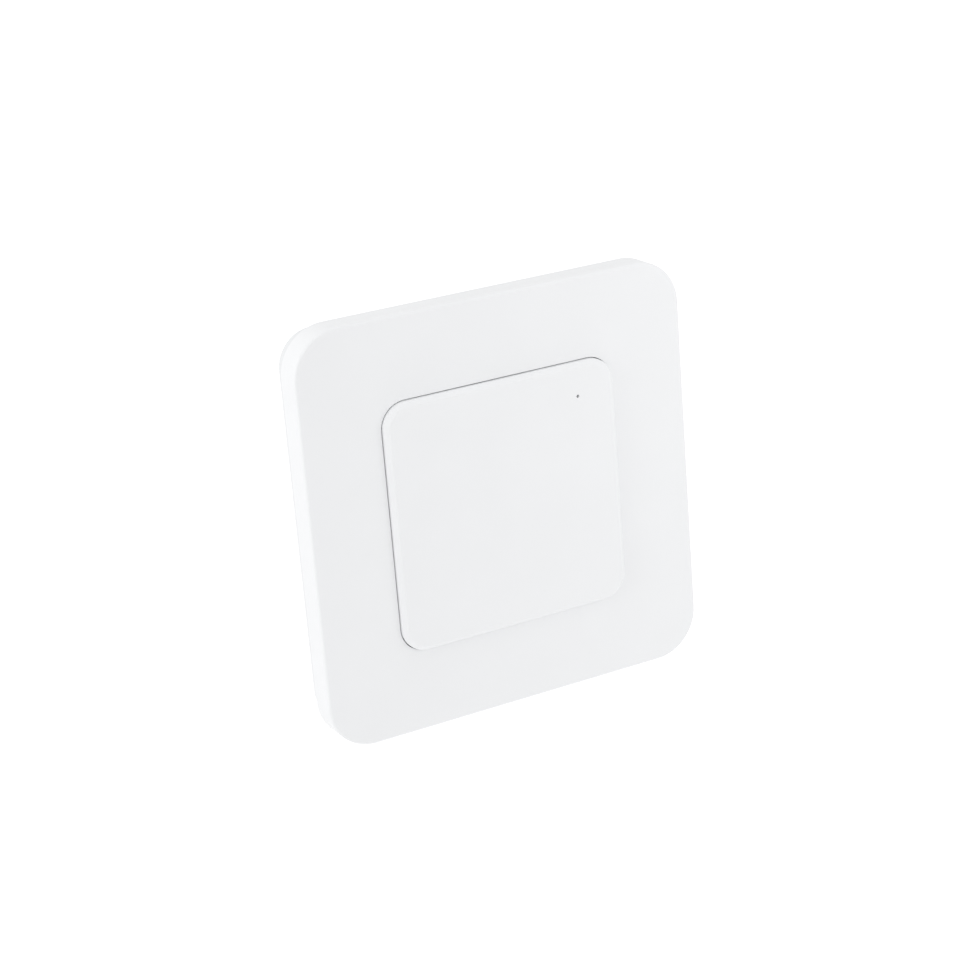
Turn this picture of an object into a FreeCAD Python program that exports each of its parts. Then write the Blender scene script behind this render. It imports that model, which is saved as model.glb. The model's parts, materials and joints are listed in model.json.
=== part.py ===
"""Battery-powered wireless wall switch: a square clip-on frame with one rocker over a small transmitter.

Millimetres, +Z up. The wall is the plane y = 0 and the front faces -Y, so a depth is a distance
in front of the wall. The depths are stacked from the wall outwards, each on the one before.
"""
import math
import os

import FreeCAD
import Part

FORWARD = FreeCAD.Vector(0, -1, 0)
ALONG_X = FreeCAD.Vector(1, 0, 0)
SIDES = (-1, 1)

# Cover frame
frame_side = 85.0
frame_corner_radius = 9.5
frame_depth = 6.0
frame_wall = 1.8
frame_plate = 2.0
frame_edge_radius = 0.6
opening_edge_radius = 0.1
collar_wall = 1.4

# Rocker
rocker_side = 51.1
rocker_corner_radius = 5.2
rocker_shell = 1.8
rocker_skirt_wall = 1.5
rocker_proud = 1.5
rocker_bevel = 0.85
bevel_crease_radius = 0.6
bevel_lip_radius = 0.2
rib_thickness = 1.0
rib_height = 1.2
rib_offset_x = 12.0
rib_offset_z = 7.0
peg_root_radius = 2.0
peg_tip_radius = 1.3
led_hole_radius = 0.33
led_x = 16.94
led_z = 18.76

# Rocker bearing
press_angle = 2.5
pin_radius = 1.0
pivot_rise = 1.4
ear_wall = 0.5
ear_thickness = 2.0
bracket_thickness = 1.6
bracket_rim = 0.15

# Back tray
tray_floor = 2.0
tray_wall = 1.6
tray_edge_radius = 0.6
slot_spacing = 60.0
slot_length = 8.0
slot_width = 4.2
latch_length = 12.0
latch_reach = 0.7
latch_ramp = 1.0
latch_land = 1.4
gusset_thickness = 1.2
gusset_height = 3.0

# Inner cover
cover_plate = 1.0
cover_margin = 3.0
cover_corner_radius = 6.0
cover_rim = 1.2
cover_rim_height = 1.4
notch_width = 14.0
boss_inset = 4.5
boss_radius = 3.0

# Circuit board
board_side = 48.0
board_thickness = 1.0
board_corner_radius = 1.5
board_standoff = 1.2
post_inset = 3.0
post_radius = 2.2

# Screws
screw_radius = 1.1
screw_head_radius = 2.0
screw_head_height = 1.2
screw_recess_width = 0.5
screw_recess_depth = 0.5
cover_screw_length = 4.5
board_screw_length = 3.0

# Push switches
switch_side = 6.0
switch_wall = 0.3
stem_radius = 1.5
stem_rise = 0.9
flange_radius = 2.0
flange_thickness = 0.4
dome_rise = 0.12
dome_sheet = 0.08
lead_width = 0.7
lead_foot = 1.4
lead_sheet = 0.2
lead_height = 1.2
lead_pitch = 4.5

# Coin cell and contacts
cell_radius = 10.0
cell_thickness = 3.2
cell_x = -6.0
cell_rim = 1.2
cell_cap_height = 0.4
cell_edge_radius = 0.4
holder_wall = 1.05
holder_floor = 0.5
holder_height = 2.4
finger_gap = 9.0
contact_sheet = 0.25
contact_width = 4.0
contact_foot = 1.6
clip_width = 5.0
clip_bend_radius = 0.5

# Indicator
led_length = 2.0
led_width = 1.25
led_height = 0.8
led_base_height = 0.3
led_lens_length = 1.2
guide_radius = 1.25
guide_flange_radius = 2.0
guide_flange_height = 0.8
guide_tip_radius = 0.5

# Parts on the board
controller_x = 12.5
controller_z = 4.0
controller_width = 3.9
controller_length = 4.9
controller_height = 1.5
controller_lead_count = 4
controller_lead_pitch = 1.27
controller_lead_width = 0.4
controller_lead_foot = 0.9
transmitter_x = 12.0
transmitter_z = -5.5
transmitter_side = 3.0
transmitter_height = 0.8
crystal_x = 12.5
crystal_z = -11.0
crystal_length = 5.0
crystal_width = 3.2
crystal_height = 1.1
crystal_corner_radius = 0.7
inductor_x = 16.5
inductor_z = -5.5
inductor_radius = 1.2
inductor_height = 1.6
storage_x = 10.5
storage_z = 13.0
storage_length = 3.5
storage_width = 2.8
storage_height = 1.9
chip_length = 1.6
chip_width = 0.8
capacitor_height = 0.8
capacitor_count = 5
capacitor_pitch = 2.2
capacitor_inset = 7.2
capacitor_edge = 7.5
resistor_height = 0.45
resistor_count = 6
resistor_pitch = 3.0
resistor_edge = 3.5
antenna_radius = 0.35
antenna_height = 1.6
antenna_bend_radius = 1.0
antenna_edge = 3.5
antenna_inset = 10.0

# Clearances
opening_gap = 0.15
frame_fit = 0.2
latch_clearance = 0.2
collar_gap = 0.3
stop_clearance = 0.15
screw_head_gap = 0.8
ear_side_gap = 0.25
pin_clearance = 0.05
peg_clearance = 0.1
stem_hole_clearance = 0.4
stem_bore_clearance = 0.1
stem_end_clearance = 0.15
flange_clearance = 0.2
switch_top_gap = 0.1
switch_holder_gap = 0.7
cell_clearance = 0.2
clip_clearance = 0.3
window_clearance = 0.25
window_land = 1.5
slot_clearance = 0.5
notch_clearance = 0.5
guide_clearance = 0.05
guide_led_gap = 0.15
guide_tip_gap = 0.5
boss_clearance = 0.4
screw_clearance = 0.2
thread_clearance = 0.05
hole_floor = 0.8

# Depths in front of the wall
rocker_half = rocker_side / 2
press = math.radians(press_angle)
holder_radius = cell_radius + cell_clearance + holder_wall
switch_z = holder_radius + switch_holder_gap + switch_side / 2
stem_travel = switch_z * math.sin(press)
switch_height = 2 * (switch_wall + stem_travel + stem_end_clearance) + flange_thickness
board_back = tray_floor + board_standoff
board_front = board_back + board_thickness
cover_under = board_front + switch_height + switch_top_gap
cover_top = cover_under + cover_plate
pivot_depth = cover_top + pivot_rise
ear_radius = pin_radius + pin_clearance + ear_wall
frame_inner = cover_top + screw_head_height + screw_head_gap
frame_front = frame_inner + frame_plate
frame_back = frame_front - frame_depth
rocker_face = frame_front + rocker_proud
rocker_inner = rocker_face - rocker_shell
latch_depth = frame_back + latch_land
collar_end = cover_top + collar_gap
skirt_end = cover_top + stop_clearance + rocker_half * math.sin(press)
stem_top = cover_top + stem_rise
guide_tip = rocker_inner - led_z * math.sin(press) - guide_tip_gap
cell_back = board_front + holder_floor + contact_sheet
cell_front = cell_back + cell_thickness

# Outlines across the wall
frame_half = frame_side / 2
opening_half = rocker_half + opening_gap
opening_radius = rocker_corner_radius + opening_gap
tray_half = frame_half - frame_wall - frame_fit
tray_radius = frame_corner_radius - frame_wall - frame_fit
tray_inner_half = tray_half - tray_wall
tray_inner_radius = tray_radius - tray_wall
cover_half = tray_inner_half - cover_margin
boss_offset = cover_half - boss_inset
board_half = board_side / 2
post_offset = board_half - post_inset
notch_start = (slot_spacing - slot_length) / 2 - notch_clearance
notch_reach = cover_half - notch_start
cell_cap_radius = cell_radius - cell_rim
window_radius = holder_radius + window_clearance
ear_inner = abs(cell_x) + window_radius + window_land
ear_outer = ear_inner + ear_thickness
clip_inner = holder_radius + clip_clearance
clip_outer = clip_inner + contact_sheet
flange_depth = board_front + switch_wall + stem_end_clearance + stem_travel

CORNERS = [(i, j) for i in SIDES for j in SIDES]
BOARD_SCREWS = [(-post_offset, post_offset), (post_offset, -post_offset)]


def point(x, depth, z):
    """Point at a depth in front of the wall."""
    return FreeCAD.Vector(x, -depth, z)


def block(x, z, size_x, size_z, depth, height):
    """Box centred on x and z, standing forward from a depth."""
    return Part.makeBox(size_x, height, size_z, point(x - size_x / 2, depth + height, z - size_z / 2))


def post(x, z, radius, depth, height):
    """Round post standing forward from a depth."""
    return Part.makeCylinder(radius, height, point(x, depth, z), FORWARD)


def outline(half_x, half_z, radius, depth, x=0.0, z=0.0):
    """Rounded rectangle parallel to the wall."""
    slant = radius * math.sqrt(0.5)
    edges = []
    ends = []
    for i, j, first_x in ((1, 1, False), (-1, 1, True), (-1, -1, False), (1, -1, True)):
        cx = x + i * (half_x - radius)
        cz = z + j * (half_z - radius)
        on_x = point(cx + i * radius, depth, cz)
        on_z = point(cx, depth, cz + j * radius)
        middle = point(cx + i * slant, depth, cz + j * slant)
        start, end = (on_z, on_x) if first_x else (on_x, on_z)
        edges.append(Part.Arc(start, middle, end).toShape())
        ends.append((start, end))
    for (_, end), (start, _) in zip(ends, ends[1:] + ends[:1]):
        if end.distanceToPoint(start) > 1e-6:
            edges.append(Part.makeLine(end, start))
    return Part.Wire(Part.__sortEdges__(edges))


def slab(half_x, half_z, radius, depth, height, x=0.0, z=0.0):
    """Rounded rectangle standing forward from a depth."""
    return Part.Face(outline(half_x, half_z, radius, depth, x, z)).extrude(FORWARD * height)


def edges_at(shape, depth, reach):
    """Edges that lie at a depth, within a reach of the middle."""
    found = []
    for edge in shape.Edges:
        box = edge.BoundBox
        flat = abs(box.YMin + depth) < 1e-6 and abs(box.YMax + depth) < 1e-6
        if flat and max(-box.XMin, box.XMax, -box.ZMin, box.ZMax) < reach + 1e-6:
            found.append(edge)
    return found


def turned(profile, x, z):
    """Solid turned about a line out of the wall, from radius and depth pairs."""
    points = [point(x + radius, depth, z) for radius, depth in profile]
    face = Part.Face(Part.makePolygon(points + points[:1]))
    return face.revolve(point(x, 0, z), FORWARD, 360)


def quarter_turns(shape):
    """The shape on each of the four sides of the frame."""
    copies = []
    for turn in range(4):
        copy = shape.copy()
        copy.rotate(FreeCAD.Vector(), FORWARD, 90 * turn)
        copies.append(copy)
    return copies


def cover_frame():
    """Clip-on frame: plate with a rounded outer wall, and a collar round the rocker."""
    shell = slab(frame_half, frame_half, frame_corner_radius, frame_back, frame_depth)
    shell = shell.makeFillet(frame_edge_radius, edges_at(shell, frame_front, frame_half))
    inner_half = frame_half - frame_wall
    hollow = slab(inner_half, inner_half, frame_corner_radius - frame_wall, frame_back,
                  frame_inner - frame_back)
    collar_half = opening_half + collar_wall
    collar = slab(collar_half, collar_half, opening_radius + collar_wall, collar_end,
                  frame_front - collar_end)
    opening = slab(opening_half, opening_half, opening_radius, frame_back, frame_depth)
    solid = shell.cut(hollow).fuse(collar.common(shell)).cut(opening)
    pocket_reach = latch_reach - frame_fit + latch_clearance
    pocket = block(0, inner_half + pocket_reach / 2, latch_length + 2 * latch_clearance, pocket_reach,
                   latch_depth - latch_clearance, latch_ramp + 2 * latch_clearance)
    solid = solid.cut(quarter_turns(pocket)).removeSplitter()
    return solid.makeFillet(opening_edge_radius, edges_at(solid, frame_front, opening_half))


def rocker():
    """Moulded key: bevelled face, skirt, ribs, two pegs and the two bearing pins."""
    key = slab(rocker_half, rocker_half, rocker_corner_radius, skirt_end, rocker_face - skirt_end)
    key = key.makeChamfer(rocker_bevel, edges_at(key, rocker_face, rocker_half))
    key = key.makeFillet(bevel_lip_radius, edges_at(key, rocker_face - rocker_bevel, rocker_half))
    key = key.makeFillet(bevel_crease_radius, edges_at(key, rocker_face, rocker_half))
    inner_half = rocker_half - rocker_skirt_wall
    hollow = slab(inner_half, inner_half, rocker_corner_radius - rocker_skirt_wall, skirt_end,
                  rocker_inner - skirt_end)
    added = []
    for side in SIDES:
        rib_depth = rocker_inner - rib_height
        added.append(block(side * rib_offset_x, 0, rib_thickness, 2 * inner_half, rib_depth, rib_height))
        added.append(block(0, side * rib_offset_z, 2 * inner_half, rib_thickness, rib_depth, rib_height))
        tip = stem_top + peg_clearance
        added.append(Part.makeCone(peg_tip_radius, peg_root_radius, rocker_inner - tip,
                                   point(0, tip, side * switch_z), FORWARD))
        added += bearing_bracket(side)
    solid = key.cut(hollow).fuse(added)
    return solid.cut(post(led_x, led_z, led_hole_radius, rocker_inner, rocker_shell)).removeSplitter()


def bearing_bracket(side):
    """Hanging bracket and its pin, which points inwards through an ear of the inner cover."""
    radius = pin_radius + bracket_rim
    inner = ear_outer + ear_side_gap
    middle = side * (inner + bracket_thickness / 2)
    web = block(middle, 0, bracket_thickness, 2 * radius, pivot_depth, rocker_inner - pivot_depth)
    start = inner if side > 0 else -inner - bracket_thickness
    end = Part.makeCylinder(radius, bracket_thickness, point(start, pivot_depth, 0), ALONG_X)
    pin_start = ear_inner if side > 0 else -inner - bracket_thickness
    pin = Part.makeCylinder(pin_radius, inner + bracket_thickness - ear_inner,
                            point(pin_start, pivot_depth, 0), ALONG_X)
    return [web, end, pin]


def back_tray():
    """Wall base: floor, rim with snap latches, bosses, board posts and slots for the wall screws."""
    shell = slab(tray_half, tray_half, tray_radius, 0, frame_inner)
    shell = shell.makeFillet(tray_edge_radius, edges_at(shell, 0, tray_half))
    hollow = slab(tray_inner_half, tray_inner_half, tray_inner_radius, tray_floor, frame_inner - tray_floor)
    solid = shell.cut(hollow)
    added = []
    holes = []
    for i, j in CORNERS:
        added.append(corner_gusset(i, j))
        added.append(post(i * boss_offset, j * boss_offset, boss_radius, tray_floor,
                          cover_under - tray_floor))
        added.append(post(i * post_offset, j * post_offset, post_radius, tray_floor, board_standoff))
        holes.append(post(i * boss_offset, j * boss_offset, screw_radius + thread_clearance, hole_floor,
                          cover_under - hole_floor))
    for x, z in BOARD_SCREWS:
        holes.append(post(x, z, screw_radius + thread_clearance, hole_floor, board_back - hole_floor))
    for side in SIDES:
        holes.append(slab(slot_length / 2, slot_width / 2, slot_width / 2, 0, tray_floor,
                          side * slot_spacing / 2))
    ramp = Part.makePolygon([point(-latch_length / 2, latch_depth, tray_half),
                             point(-latch_length / 2, latch_depth, tray_half + latch_reach),
                             point(-latch_length / 2, latch_depth + latch_ramp, tray_half),
                             point(-latch_length / 2, latch_depth, tray_half)])
    latch = Part.Face(ramp).extrude(ALONG_X * latch_length)
    return solid.fuse(added + quarter_turns(latch)).cut(holes).removeSplitter()


def corner_gusset(i, j):
    """Rib from a corner boss to the corner of the rim."""
    corner = tray_inner_half - tray_inner_radius * (1 - math.sqrt(0.5)) + tray_wall / 2
    length = (corner - boss_offset) * math.sqrt(2)
    rib = Part.makeBox(length, gusset_height, gusset_thickness,
                       FreeCAD.Vector(0, -tray_floor - gusset_height, -gusset_thickness / 2))
    rib.rotate(FreeCAD.Vector(), FORWARD, math.degrees(math.atan2(j, i)))
    rib.translate(FreeCAD.Vector(i * boss_offset, 0, j * boss_offset))
    return rib


def inner_cover():
    """Carrier plate with a stiffening rim, bearing ears and windows for what stands on the board."""
    low = cover_under - cover_rim_height
    plate = slab(cover_half, cover_half, cover_corner_radius, low, cover_top - low)
    inside = cover_half - cover_rim
    solid = plate.cut(slab(inside, inside, cover_corner_radius - cover_rim, low, cover_rim_height))
    cuts = [post(cell_x, 0, window_radius, cover_under, cover_plate),
            block(cell_x, 0, clip_width + 2 * slot_clearance, 2 * (clip_outer + slot_clearance),
                  cover_under, cover_plate),
            post(led_x, led_z, guide_radius + guide_clearance, cover_under, cover_plate)]
    ears = []
    for side in SIDES:
        cuts.append(post(0, side * switch_z, stem_radius + stem_hole_clearance, cover_under, cover_plate))
        notch_middle = side * (cover_half - notch_reach / 2)
        cuts.append(block(notch_middle, 0, notch_reach, notch_width, low, cover_top - low))
        middle = side * (ear_inner + ear_thickness / 2)
        start = point(middle - ear_thickness / 2, pivot_depth, 0)
        ear = block(middle, 0, ear_thickness, 2 * ear_radius, cover_under, pivot_depth - cover_under)
        ear = ear.fuse(Part.makeCylinder(ear_radius, ear_thickness, start, ALONG_X))
        ears.append(ear.cut(Part.makeCylinder(pin_radius + pin_clearance, ear_thickness, start, ALONG_X)))
    for i, j in CORNERS:
        cuts.append(post(i * boss_offset, j * boss_offset, screw_radius + screw_clearance, cover_under,
                         cover_plate))
        cuts.append(post(i * boss_offset, j * boss_offset, boss_radius + boss_clearance, low,
                         cover_rim_height))
    return solid.cut(cuts).fuse(ears).removeSplitter()


def circuit_board():
    """Board with round corner cut-outs at the bosses and holes for its two screws."""
    board = slab(board_half, board_half, board_corner_radius, board_back, board_thickness)
    cuts = [post(i * boss_offset, j * boss_offset, boss_radius + boss_clearance, board_back, board_thickness)
            for i, j in CORNERS]
    cuts += [post(x, z, screw_radius + screw_clearance, board_back, board_thickness) for x, z in BOARD_SCREWS]
    return board.cut(cuts)


def screw(x, z, seat, length):
    """Pan-head self-tapping screw with a cross recess."""
    head = post(x, z, screw_head_radius, seat, screw_head_height)
    top = [edge for edge in head.Edges if abs(edge.BoundBox.YMax + seat + screw_head_height) < 1e-6]
    head = head.makeFillet(screw_head_height / 2, top)
    recess_depth = seat + screw_head_height - screw_recess_depth
    recess = [block(x, z, screw_head_radius, screw_recess_width, recess_depth, screw_recess_depth),
              block(x, z, screw_recess_width, screw_head_radius, recess_depth, screw_recess_depth)]
    return head.fuse(post(x, z, screw_radius, seat - length, length)).cut(recess)


def switch_body(side):
    """Push-switch housing with a round chamber for the stem's flange and the dome."""
    z = side * switch_z
    chamber = post(0, z, flange_radius + flange_clearance, board_front + switch_wall,
                   switch_height - 2 * switch_wall)
    bore = post(0, z, stem_radius + stem_bore_clearance, board_front + switch_wall, switch_height)
    return block(0, z, switch_side, switch_side, board_front, switch_height).cut([chamber, bore])


def switch_stem(side):
    """Plunger with a retaining flange, in the middle of its travel."""
    z = side * switch_z
    flange = post(0, z, flange_radius, flange_depth, flange_thickness)
    return flange.fuse(post(0, z, stem_radius, flange_depth, stem_top - flange_depth)).removeSplitter()


def contact_domes():
    """Snap domes, in their pressed shape, on the floors of the switch chambers."""
    low = board_front + switch_wall
    rim = flange_radius
    crown = stem_radius / 2
    top = low + dome_rise
    profile = [(0, top - dome_sheet), (crown, top - dome_sheet), (rim - dome_sheet, low),
               (rim, low), (crown, top), (0, top)]
    return Part.Compound([turned(profile, 0, side * switch_z) for side in SIDES])


def switch_terminals():
    """Soldered leads, two on each side of each switch."""
    leads = []
    for i, j in CORNERS:
        for row in SIDES:
            z = j * switch_z + row * lead_pitch / 2
            foot = block(i * (switch_side + lead_foot) / 2, z, lead_foot, lead_width,
                         board_front, lead_sheet)
            riser = block(i * (switch_side + lead_sheet) / 2, z, lead_sheet, lead_width,
                          board_front, lead_height)
            leads.append(foot.fuse(riser).removeSplitter())
    return Part.Compound(leads)


def coin_cell():
    """Button cell: wide can with a rounded edge, and a smaller cap towards the board."""
    step = cell_back + cell_cap_height
    cell = turned([(0, cell_back), (cell_cap_radius, cell_back), (cell_cap_radius, step), (cell_radius, step),
                   (cell_radius, cell_front), (0, cell_front)], cell_x, 0)
    rims = [edge for edge in cell.Edges
            if edge.Closed and abs(edge.BoundBox.XLength - 2 * cell_radius) < 1e-3]
    return cell.makeFillet(cell_edge_radius, rims)


def battery_holder():
    """Round cup with a finger gap on the left and a slot for the lower contact on the right."""
    cup = post(cell_x, 0, holder_radius, board_front, holder_height)
    floor_top = board_front + holder_floor
    bowl = post(cell_x, 0, cell_radius + cell_clearance, floor_top, holder_height)
    gap = block(cell_x - cell_radius, 0, cell_radius, finger_gap, floor_top, holder_height)
    slot = block(cell_x + cell_radius, 0, cell_radius, contact_width + 2 * slot_clearance,
                 floor_top, holder_height)
    return cup.cut([bowl, gap, slot])


def battery_negative_contact():
    """Strip under the cell, bent down through the holder's slot to the board."""
    floor_top = board_front + holder_floor
    bend = cell_x + holder_radius + clip_clearance
    start = cell_x - cell_cap_radius
    strip = block((start + bend + contact_sheet) / 2, 0, bend + contact_sheet - start, contact_width,
                  floor_top, contact_sheet)
    drop = block(bend + contact_sheet / 2, 0, contact_sheet, contact_width, board_front,
                 holder_floor + contact_sheet)
    foot = block(bend + contact_foot / 2, 0, contact_foot, contact_width, board_front, contact_sheet)
    return strip.fuse([drop, foot]).removeSplitter()


def battery_positive_clip():
    """Sheet bridge over the cell, standing on the board at both ends."""
    height = cell_front + contact_sheet - board_front
    bridge = bent_block(clip_outer, height, clip_bend_radius + contact_sheet)
    return bridge.cut(bent_block(clip_inner, height - contact_sheet, clip_bend_radius))


def bent_block(half_z, height, radius):
    """Block across the cell with its two upper edges rounded."""
    shape = block(cell_x, 0, clip_width, 2 * half_z, board_front, height)
    top = -board_front - height
    bends = [edge for edge in shape.Edges
             if edge.BoundBox.XLength > clip_width / 2 and abs(edge.CenterOfMass.y - top) < 1e-6]
    return shape.makeFillet(radius, bends)


def indicator_led():
    """Small surface-mounted lamp: base and lens."""
    base = block(led_x, led_z, led_length, led_width, board_front, led_base_height)
    lens = block(led_x, led_z, led_lens_length, led_width, board_front, led_height)
    return base.fuse(lens).removeSplitter()


def light_guide():
    """Clear rod from the lamp to just under the rocker, with a flange under the inner cover."""
    foot = board_front + led_height + guide_led_gap
    flange = cover_under - guide_flange_height
    profile = [(0, foot), (guide_radius, foot), (guide_radius, flange), (guide_flange_radius, flange),
               (guide_flange_radius, cover_under), (guide_radius, cover_under),
               (guide_radius, guide_tip - guide_tip_radius),
               (guide_radius - guide_tip_radius, guide_tip), (0, guide_tip)]
    return turned(profile, led_x, led_z)


def controller_chip():
    """Controller package with bevelled upper edges."""
    body = block(controller_x, controller_z, controller_width, controller_length,
                 board_front, controller_height)
    top = board_front + controller_height
    return body.makeChamfer(controller_height / 6, edges_at(body, top, frame_half))


def controller_leads():
    """Gull-wing leads along both long sides of the controller."""
    leads = []
    rise = controller_height / 2
    for side in SIDES:
        inner = controller_x + side * controller_width / 2
        for index in range(controller_lead_count):
            z = controller_z + (index - (controller_lead_count - 1) / 2) * controller_lead_pitch
            foot = block(inner + side * controller_lead_foot / 2, z, controller_lead_foot,
                         controller_lead_width, board_front, lead_sheet)
            riser = block(inner + side * lead_sheet / 2, z, lead_sheet, controller_lead_width,
                          board_front, rise)
            leads.append(foot.fuse(riser).removeSplitter())
    return Part.Compound(leads)


def transmitter_chip():
    """Leadless radio package."""
    return block(transmitter_x, transmitter_z, transmitter_side, transmitter_side,
                 board_front, transmitter_height)


def crystal_can():
    """Pressed metal can of the crystal."""
    can = slab(crystal_length / 2, crystal_width / 2, crystal_corner_radius, board_front, crystal_height,
               crystal_x, crystal_z)
    return can.makeFillet(crystal_height / 4, edges_at(can, board_front + crystal_height, frame_half))


def matching_inductor():
    """Small drum inductor: two flanges and a waist."""
    third = inductor_height / 3
    waist = inductor_radius * 0.75
    profile = [(0, board_front), (inductor_radius, board_front), (inductor_radius, board_front + third),
               (waist, board_front + third), (waist, board_front + 2 * third),
               (inductor_radius, board_front + 2 * third), (inductor_radius, board_front + inductor_height),
               (0, board_front + inductor_height)]
    return turned(profile, inductor_x, inductor_z)


def storage_capacitor():
    """Moulded capacitor with bevelled upper edges."""
    body = block(storage_x, storage_z, storage_length, storage_width, board_front, storage_height)
    return body.makeChamfer(storage_height / 8, edges_at(body, board_front + storage_height, frame_half))


def chip_capacitors():
    """Row of chip capacitors below the crystal."""
    last = board_half - capacitor_inset
    z = capacitor_edge - board_half
    return Part.Compound([block(last - index * capacitor_pitch, z, chip_width, chip_length,
                                board_front, capacitor_height) for index in range(capacitor_count)])


def chip_resistors():
    """Column of chip resistors along the left edge of the board."""
    x = resistor_edge - board_half
    middle = (resistor_count - 1) / 2
    return Part.Compound([block(x, (index - middle) * resistor_pitch, chip_length, chip_width,
                                board_front, resistor_height) for index in range(resistor_count)])


def antenna_wire():
    """Bent wire loop along the right edge of the board."""
    x = board_half - antenna_edge
    end = board_half - antenna_inset
    top = board_front + antenna_height
    slant = antenna_bend_radius * (1 - math.sqrt(0.5))
    lower = top - antenna_bend_radius
    run = end - antenna_bend_radius
    path = Part.Wire([
        Part.makeLine(point(x, board_front, -end), point(x, lower, -end)),
        Part.Arc(point(x, lower, -end), point(x, top - slant, slant - end), point(x, top, -run)).toShape(),
        Part.makeLine(point(x, top, -run), point(x, top, run)),
        Part.Arc(point(x, top, run), point(x, top - slant, end - slant), point(x, lower, end)).toShape(),
        Part.makeLine(point(x, lower, end), point(x, board_front, end)),
    ])
    section = Part.Wire(Part.makeCircle(antenna_radius, point(x, board_front, -end), FORWARD))
    return path.makePipeShell([section], True, True)


def build():
    """Every node by name."""
    return {
        "cover_frame": cover_frame(),
        "rocker": rocker(),
        "back_tray": back_tray(),
        "inner_cover": inner_cover(),
        "circuit_board": circuit_board(),
        "upper_switch_body": switch_body(1),
        "upper_switch_stem": switch_stem(1),
        "lower_switch_body": switch_body(-1),
        "lower_switch_stem": switch_stem(-1),
        "contact_domes": contact_domes(),
        "switch_terminals": switch_terminals(),
        "coin_cell": coin_cell(),
        "battery_holder": battery_holder(),
        "battery_positive_clip": battery_positive_clip(),
        "battery_negative_contact": battery_negative_contact(),
        "indicator_led": indicator_led(),
        "light_guide": light_guide(),
        "controller_chip": controller_chip(),
        "controller_leads": controller_leads(),
        "transmitter_chip": transmitter_chip(),
        "crystal_can": crystal_can(),
        "antenna_wire": antenna_wire(),
        "chip_capacitors": chip_capacitors(),
        "chip_resistors": chip_resistors(),
        "storage_capacitor": storage_capacitor(),
        "matching_inductor": matching_inductor(),
        "board_screws": Part.Compound([screw(x, z, board_front, board_screw_length)
                                       for x, z in BOARD_SCREWS]),
        "cover_screws": Part.Compound([screw(i * boss_offset, j * boss_offset, cover_top, cover_screw_length)
                                       for i, j in CORNERS]),
    }


os.makedirs("parts", exist_ok=True)
for name, shape in build().items():
    shape.exportStep("parts/" + name + ".step")
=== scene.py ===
"""Looks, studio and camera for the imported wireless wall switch.

Metres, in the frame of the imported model: the wall is the plane y = 0, the front faces -Y and +Z is up.
Textures are measured in millimetres.
"""
import json
import math

import bpy
from mathutils import Matrix, Vector


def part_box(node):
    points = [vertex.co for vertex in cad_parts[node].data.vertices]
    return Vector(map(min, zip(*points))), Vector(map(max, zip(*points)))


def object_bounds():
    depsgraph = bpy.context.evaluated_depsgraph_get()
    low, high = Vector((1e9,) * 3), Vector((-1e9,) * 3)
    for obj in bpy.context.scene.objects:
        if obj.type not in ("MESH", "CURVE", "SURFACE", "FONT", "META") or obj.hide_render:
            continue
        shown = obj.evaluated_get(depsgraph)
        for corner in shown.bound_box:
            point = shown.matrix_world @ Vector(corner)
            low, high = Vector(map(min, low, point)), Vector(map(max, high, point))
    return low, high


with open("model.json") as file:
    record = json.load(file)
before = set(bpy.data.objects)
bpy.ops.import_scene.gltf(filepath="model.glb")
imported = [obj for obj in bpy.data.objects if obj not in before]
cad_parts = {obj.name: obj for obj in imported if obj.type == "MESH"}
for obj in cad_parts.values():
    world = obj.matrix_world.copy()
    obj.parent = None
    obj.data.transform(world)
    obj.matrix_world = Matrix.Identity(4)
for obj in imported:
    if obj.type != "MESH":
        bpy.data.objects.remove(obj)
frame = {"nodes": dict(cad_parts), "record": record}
cad_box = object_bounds()

X, Y, Z = range(3)
MILLIMETRES = 1000.0
WHITE = (1, 1, 1, 1)

# Camera: place from the middle of the frame's front, angles in degrees, sensor in millimetres
IMAGE_HEIGHT = 971
FOCAL_PIXELS = 2409.0
SENSOR = 36.0
CAMERA_FROM_FRONT = Vector((-0.2106, -0.3969, 0.1562))
CAMERA_LEVEL = 90.0
CAMERA_YAW = 27.436
CAMERA_PITCH = -18.712
CAMERA_ROLL = -4.748

# Floor, and the strength of the white room as a light
FLOOR_DROP = 0.5
FLOOR_SIZE = 12.0
FLOOR_COLOR = (0.86, 0.86, 0.86)
FLOOR_ROUGHNESS = 0.9
FLOOR_LIFT = 0.40
AMBIENT = 0.903

# Soft boxes: place from the middle of the frame's front, size and power in watts
SOFT_BOXES = {
    "near_left": ((-0.60, -0.06, 0.12), 0.35, 0.89),
    "close_right": ((0.17, -0.16, 0.05), 0.10, 0.077),
    "top": ((0.10, -0.25, 1.30), 0.90, 0.74),
    "below": ((0.05, -0.06, -0.42), 0.20, 0.26),
}

# Blender's nodes: repeat of the wave texture at a scale of 1, and the colour sockets of the Mix node
WAVE_PERIOD = math.pi / 10
MIX_FACTOR, MIX_A, MIX_B, MIX_RESULT = 0, 6, 7, 2

# Marks on the small parts: share of the drum that is wound, then lengths in metres
WAIST_SHARE = 1 / 3
CHIP_END = 0.0003
STORAGE_BAND = 0.0007
LED_LENS = 0.0005

# Plastics: patches of gloss along one drift of shade, and the index of refraction of acrylic
GLOSS_PATCHES = 3
ACRYLIC_IOR = 1.49


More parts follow.
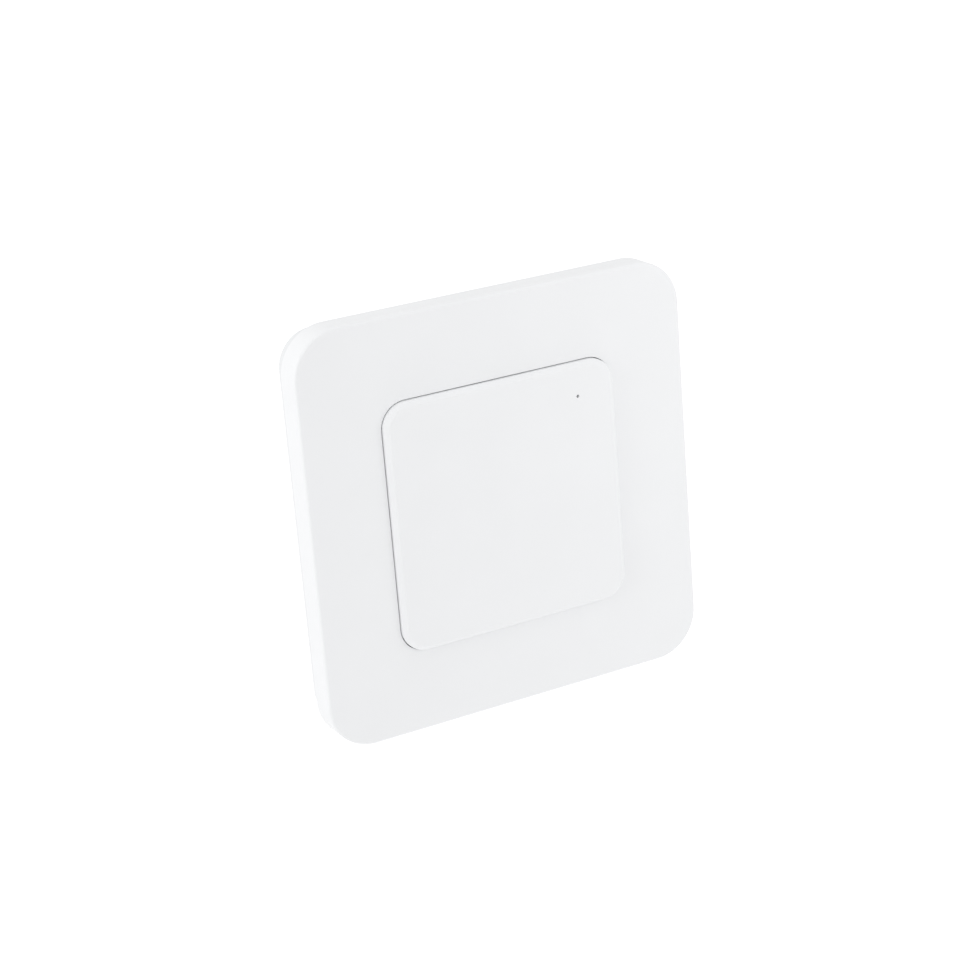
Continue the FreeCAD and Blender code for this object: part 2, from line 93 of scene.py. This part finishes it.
class Look:
    """Material with a Principled shader, and textures measured in millimetres."""

    def __init__(self, name, color, metallic=0.0):
        self.material = bpy.data.materials.new(name)
        self.material.use_nodes = True
        self.tree = self.material.node_tree
        self.shader = next(node for node in self.tree.nodes if node.type == "BSDF_PRINCIPLED")
        self.set("Base Color", (*color, 1.0))
        self.set("Metallic", metallic)
        place = self.node("ShaderNodeTexCoord")
        scale = self.node("ShaderNodeVectorMath", operation="SCALE")
        scale.inputs["Scale"].default_value = MILLIMETRES
        self.link(place.outputs["Object"], scale.inputs[0])
        self.place = scale.outputs[0]

    def set(self, socket, value):
        """A value that is the same all over."""
        self.shader.inputs[socket].default_value = value

    def node(self, kind, **settings):
        """New node with these settings."""
        node = self.tree.nodes.new(kind)
        for name, value in settings.items():
            setattr(node, name, value)
        return node

    def link(self, output, socket):
        self.tree.links.new(output, socket)

    def noise(self, size, detail=2.0, stretch=(1.0, 1.0, 1.0)):
        """Noise with grains of about this size, longer along the axes that are stretched."""
        fit = self.node("ShaderNodeMapping")
        fit.inputs["Scale"].default_value = [1 / (size * part) for part in stretch]
        self.link(self.place, fit.inputs["Vector"])
        noise = self.node("ShaderNodeTexNoise")
        noise.inputs["Scale"].default_value = 1.0
        noise.inputs["Detail"].default_value = detail
        self.link(fit.outputs[0], noise.inputs["Vector"])
        return noise.outputs["Fac"]

    def rings(self, spacing, middle, distortion=0.6):
        """Rings about a line out of the wall."""
        shift = self.node("ShaderNodeVectorMath", operation="SUBTRACT")
        shift.inputs[1].default_value = middle * MILLIMETRES
        self.link(self.place, shift.inputs[0])
        wave = self.node("ShaderNodeTexWave", wave_type="RINGS", rings_direction="Y")
        wave.inputs["Scale"].default_value = WAVE_PERIOD / spacing
        wave.inputs["Distortion"].default_value = distortion
        self.link(shift.outputs[0], wave.inputs["Vector"])
        return wave.outputs["Fac"]

    def band(self, axis, middle, half):
        """1 between two planes across an axis, 0 outside."""
        split = self.node("ShaderNodeSeparateXYZ")
        self.link(self.place, split.inputs[0])
        near = self.node("ShaderNodeMath", operation="COMPARE")
        near.inputs[1].default_value = middle * MILLIMETRES
        near.inputs[2].default_value = half * MILLIMETRES
        self.link(split.outputs[axis], near.inputs[0])
        return near.outputs[0]

    def mapped(self, factor, low=0.0, high=1.0, start=0.25, end=0.75):
        """Factor mapped to a range of values, by default from the range where most of a noise lies."""
        span = self.node("ShaderNodeMapRange")
        for name, value in (("From Min", start), ("From Max", end), ("To Min", low), ("To Max", high)):
            span.inputs[name].default_value = value
        self.link(factor, span.inputs["Value"])
        return span.outputs["Result"]

    def mixed(self, factor, first, second):
        """Color between two colours or colour outputs."""
        mix = self.node("ShaderNodeMix", data_type="RGBA")
        self.link(factor, mix.inputs[MIX_FACTOR])
        for socket, color in ((mix.inputs[MIX_A], first), (mix.inputs[MIX_B], second)):
            if isinstance(color, bpy.types.NodeSocket):
                self.link(color, socket)
            else:
                socket.default_value = (*color, 1.0)
        return mix.outputs[MIX_RESULT]

    def clouded(self, factor, color, darkest):
        """Color that drifts down to its darkest share."""
        return self.mixed(self.mapped(factor), [part * darkest for part in color], color)

    def color(self, output):
        self.link(output, self.shader.inputs["Base Color"])

    def roughness(self, factor, low, high):
        self.link(self.mapped(factor, low, high), self.shader.inputs["Roughness"])

    def bump(self, height, depth):
        """Relief of this depth in millimetres."""
        bump = self.node("ShaderNodeBump")
        bump.inputs["Distance"].default_value = depth / MILLIMETRES
        self.link(height, bump.inputs["Height"])
        self.link(bump.outputs[0], self.shader.inputs["Normal"])


def moulded(name, color, roughness, grain=0.18, depth=0.004, flow=14.0, drift=0.05):
    """Moulded plastic: spark-eroded grain, with slow changes of gloss and shade from the flow of the melt."""
    look = Look(name, color)
    look.color(look.clouded(look.noise(flow, detail=1.0), color, darkest=0.985))
    look.roughness(look.noise(flow / GLOSS_PATCHES), low=roughness - drift, high=roughness + drift)
    look.bump(look.noise(grain, detail=3.0), depth)
    return look.material


def sheet_metal(name, color, roughness, grain=0.08, stretch=(1.0, 1.0, 12.0), smoother=0.08, rougher=0.10):
    """Rolled or drawn metal: fine lines along the stretched axis, with cloudy changes of tone."""
    look = Look(name, color, metallic=1.0)
    lines = look.noise(grain, detail=3.0, stretch=stretch)
    look.color(look.clouded(look.noise(size=2.5), color, darkest=0.9))
    look.roughness(lines, low=roughness - smoother, high=roughness + rougher)
    look.bump(lines, depth=0.002)
    return look.material


def tinned(name, color):
    """Solder-dipped metal: soft lumps and a patchy shine."""
    look = Look(name, color, metallic=1.0)
    lumps = look.noise(size=0.35, detail=1.0)
    look.color(look.clouded(lumps, color, darkest=0.82))
    look.roughness(look.noise(size=0.2), low=0.22, high=0.45)
    look.bump(lumps, depth=0.02)
    return look.material


def plated(name, color, tint):
    """Zinc plating: a grey with a faint drift of colour."""
    look = Look(name, color, metallic=1.0)
    look.color(look.mixed(look.mapped(look.noise(size=0.9)), color, tint))
    look.roughness(look.noise(size=0.15), low=0.24, high=0.4)
    look.bump(look.noise(size=0.06), depth=0.002)
    return look.material


def cell_can(name, color):
    """Nickel-plated can with fine rings from the press tool."""
    low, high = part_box("coin_cell")
    look = Look(name, color, metallic=1.0)
    rings = look.rings(spacing=0.25, middle=(low + high) / 2)
    look.color(look.clouded(look.noise(size=3.0), color, darkest=0.9))
    look.roughness(rings, low=0.2, high=0.34)
    look.bump(rings, depth=0.003)
    return look.material


def board_laminate(name, color, track_color):
    """Solder mask over copper tracks that show through as paler, raised lines."""
    look = Look(name, color)
    upright = look.node("ShaderNodeMapping")
    upright.inputs["Rotation"].default_value = (math.radians(90), 0, 0)
    look.link(look.place, upright.inputs["Vector"])
    tracks = look.node("ShaderNodeTexBrick", offset=0.37)
    for socket, value in (("Scale", 1.0), ("Mortar Size", 0.14), ("Mortar Smooth", 0.2),
                          ("Brick Width", 5.5), ("Row Height", 1.1)):
        tracks.inputs[socket].default_value = value
    look.link(upright.outputs[0], tracks.inputs["Vector"])
    mask = look.clouded(look.noise(size=6.0), color, darkest=0.85)
    look.color(look.mixed(tracks.outputs["Fac"], mask, track_color))
    look.roughness(look.noise(size=0.5), low=0.3, high=0.46)
    look.bump(tracks.outputs["Fac"], depth=0.03)
    return look.material


def epoxy(name, color, filler_color):
    """Moulding compound: dark, with a fine pale filler."""
    look = Look(name, color)
    filler = look.noise(size=0.05, detail=3.0)
    look.color(look.mixed(look.mapped(filler, start=0.45, end=0.8), color, filler_color))
    look.roughness(filler, low=0.5, high=0.7)
    look.bump(filler, depth=0.004)
    return look.material


def banded(name, node, axis, half, color, end_color, end_metal=0.0, offset=0.0):
    """Small part with one colour in a band across an axis and another beyond it, which may be metal."""
    low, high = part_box(node)
    look = Look(name, color)
    body = look.band(axis, (low[axis] + high[axis]) / 2 + offset, half)
    cloudy = look.clouded(look.noise(size=0.3), color, darkest=0.85)
    look.color(look.mixed(body, end_color, cloudy))
    if end_metal:
        metal = look.mapped(body, low=end_metal, high=0.0, start=0.0, end=1.0)
        look.link(metal, look.shader.inputs["Metallic"])
    look.roughness(look.noise(size=0.12), low=0.35, high=0.55)
    look.bump(look.noise(size=0.1, detail=3.0), depth=0.006)
    return look.material


def wound_core(name, color, wire_shade, wire_shine):
    """Ferrite drum with copper wire round its waist."""
    low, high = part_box("matching_inductor")
    thickness = high.y - low.y
    look = Look(name, color)
    waist = look.band(Y, (low.y + high.y) / 2, thickness * WAIST_SHARE / 2)
    grain = look.noise(size=0.08, detail=3.0)
    wire = look.noise(size=0.12, stretch=(30.0, 1.0, 30.0))
    ferrite = look.clouded(grain, color, darkest=0.6)
    look.color(look.mixed(waist, ferrite, look.mixed(wire, wire_shade, wire_shine)))
    look.link(waist, look.shader.inputs["Metallic"])
    look.roughness(grain, low=0.4, high=0.6)
    look.bump(wire, depth=0.02)
    return look.material


def clear_acrylic(name, color):
    """Moulded light guide, with faint flow lines in its surface."""
    look = Look(name, color)
    look.set("Transmission Weight", 1.0)
    look.set("IOR", ACRYLIC_IOR)
    look.roughness(look.noise(size=0.8), low=0.03, high=0.12)
    look.bump(look.noise(size=0.6, stretch=(1.0, 4.0, 1.0)), depth=0.003)
    return look.material


def half_size(node, axis):
    """Half the size of a node along an axis."""
    low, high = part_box(node)
    return (high[axis] - low[axis]) / 2


# Each material slot's look: what makes it, and its values
TIN = (0.68, 0.69, 0.70)
LOOKS = {
    "white_plastic": (moulded, dict(color=(0.855, 0.862, 0.873), roughness=0.46)),
    "tray_plastic": (moulded, dict(color=(0.80, 0.81, 0.82), roughness=0.55, grain=0.25, depth=0.008)),
    "carrier_plastic": (moulded, dict(color=(0.70, 0.71, 0.73), roughness=0.5, grain=0.22, depth=0.006)),
    "holder_plastic": (moulded, dict(color=(0.045, 0.045, 0.05), roughness=0.5, grain=0.15)),
    "switch_plastic": (moulded, dict(color=(0.05, 0.05, 0.055), roughness=0.42, grain=0.12)),
    "stem_plastic": (moulded, dict(color=(0.76, 0.74, 0.67), roughness=0.4, grain=0.12)),
    "board_laminate": (board_laminate, dict(color=(0.03, 0.21, 0.09), track_color=(0.12, 0.40, 0.20))),
    "chip_epoxy": (epoxy, dict(color=(0.03, 0.03, 0.032), filler_color=(0.10, 0.10, 0.105))),
    "capacitor_body": (banded, dict(node="chip_capacitors", axis=Z,
                                    half=half_size("chip_capacitors", Z) - CHIP_END,
                                    color=(0.52, 0.37, 0.21), end_color=TIN, end_metal=1.0)),
    "resistor_body": (banded, dict(node="chip_resistors", axis=X,
                                   half=half_size("chip_resistors", X) - CHIP_END,
                                   color=(0.03, 0.03, 0.034), end_color=TIN, end_metal=1.0)),
    "storage_body": (banded, dict(node="storage_capacitor", axis=X, half=half_size("storage_capacitor", X),
                                  color=(0.70, 0.45, 0.10), end_color=(0.30, 0.14, 0.03),
                                  offset=STORAGE_BAND)),
    "inductor_body": (wound_core, dict(color=(0.10, 0.10, 0.11), wire_shade=(0.45, 0.19, 0.08),
                                       wire_shine=(0.80, 0.42, 0.22))),
    "cell_steel": (cell_can, dict(color=(0.72, 0.73, 0.74))),
    "contact_steel": (sheet_metal, dict(color=(0.70, 0.70, 0.68), roughness=0.3)),
    "can_steel": (sheet_metal, dict(color=(0.70, 0.71, 0.73), roughness=0.34, stretch=(12.0, 1.0, 1.0))),
    "antenna_copper": (sheet_metal, dict(color=(0.74, 0.44, 0.26), roughness=0.3, grain=0.05)),
    "lead_tin": (tinned, dict(color=TIN)),
    "screw_steel": (plated, dict(color=(0.60, 0.62, 0.65), tint=(0.68, 0.66, 0.58))),
    "guide_clear": (clear_acrylic, dict(color=(0.90, 0.93, 0.94))),
    "led_body": (banded, dict(node="indicator_led", axis=X, half=LED_LENS,
                              color=(0.86, 0.78, 0.42), end_color=(0.86, 0.86, 0.84))),
}


def front_middle():
    """Middle of the frame's front face."""
    low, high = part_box("cover_frame")
    return Vector(((low.x + high.x) / 2, low.y, (low.z + high.z) / 2))


def add_camera():
    """Camera at the photograph's angle, placed from the middle of the frame's front."""
    lens = bpy.data.cameras.new("camera")
    lens.sensor_width = SENSOR
    lens.lens = FOCAL_PIXELS / IMAGE_HEIGHT * SENSOR
    camera = bpy.data.objects.new("camera", lens)
    bpy.context.scene.collection.objects.link(camera)
    turn = (Matrix.Rotation(-math.radians(CAMERA_YAW), 4, "Z")
            @ Matrix.Rotation(math.radians(CAMERA_LEVEL + CAMERA_PITCH), 4, "X")
            @ Matrix.Rotation(math.radians(CAMERA_ROLL), 4, "Z"))
    camera.matrix_world = Matrix.Translation(front_middle() + CAMERA_FROM_FRONT) @ turn
    bpy.context.scene.camera = camera


def add_soft_box(name, place, size, power):
    """Square lamp that faces the object."""
    lamp = bpy.data.lights.new(name, "AREA")
    lamp.size = size
    lamp.energy = power
    box = bpy.data.objects.new(name, lamp)
    box.location = front_middle() + Vector(place)
    box.rotation_euler = (-Vector(place)).to_track_quat("-Z", "Y").to_euler()
    bpy.context.scene.collection.objects.link(box)


def seen_directly(tree):
    """1 on rays that show the background, straight from the camera, in a mirror or through glass."""
    path = tree.nodes.new("ShaderNodeLightPath")
    total = path.outputs["Is Camera Ray"]
    for name in ("Is Glossy Ray", "Is Transmission Ray"):
        larger = tree.nodes.new("ShaderNodeMath")
        larger.operation = "MAXIMUM"
        tree.links.new(total, larger.inputs[0])
        tree.links.new(path.outputs[name], larger.inputs[1])
        total = larger.outputs[0]
    return total


def add_world():
    """White room, which lights the object less than it shows."""
    world = bpy.data.worlds.new("studio")
    world.use_nodes = True
    bpy.context.scene.world = world
    tree = world.node_tree
    background = next(node for node in tree.nodes if node.type == "BACKGROUND")
    background.inputs["Color"].default_value = WHITE
    span = tree.nodes.new("ShaderNodeMapRange")
    span.inputs["To Min"].default_value = AMBIENT
    span.inputs["To Max"].default_value = 1.0
    tree.links.new(seen_directly(tree), span.inputs["Value"])
    tree.links.new(span.outputs["Result"], background.inputs["Strength"])


def add_floor():
    """Plain pale floor below the switch, lifted to white where it is seen."""
    half = FLOOR_SIZE / 2
    level = cad_box[0][Z] - FLOOR_DROP
    corners = [(-half, -half, level), (half, -half, level), (half, half, level), (-half, half, level)]
    mesh = bpy.data.meshes.new("floor")
    mesh.from_pydata(corners, [], [(0, 1, 2, 3)])
    floor = bpy.data.objects.new("floor", mesh)
    bpy.context.scene.collection.objects.link(floor)
    look = Look("floor", FLOOR_COLOR)
    look.set("Roughness", FLOOR_ROUGHNESS)
    look.set("Emission Color", WHITE)
    lift = look.mapped(seen_directly(look.tree), high=FLOOR_LIFT, start=0.0, end=1.0)
    look.link(lift, look.shader.inputs["Emission Strength"])
    mesh.materials.append(look.material)


def dress():
    """Each node takes the look of its slot."""
    looks = {slot: make(slot, **values) for slot, (make, values) in LOOKS.items()}
    for part in frame["record"]["subparts"]:
        materials = frame["nodes"][part["node"]].data.materials
        materials.clear()
        materials.append(looks[part["material_slot"]])


bpy.context.scene.view_settings.view_transform = "Standard"
add_camera()
add_world()
add_floor()
for name, values in SOFT_BOXES.items():
    add_soft_box(name, *values)
dress()
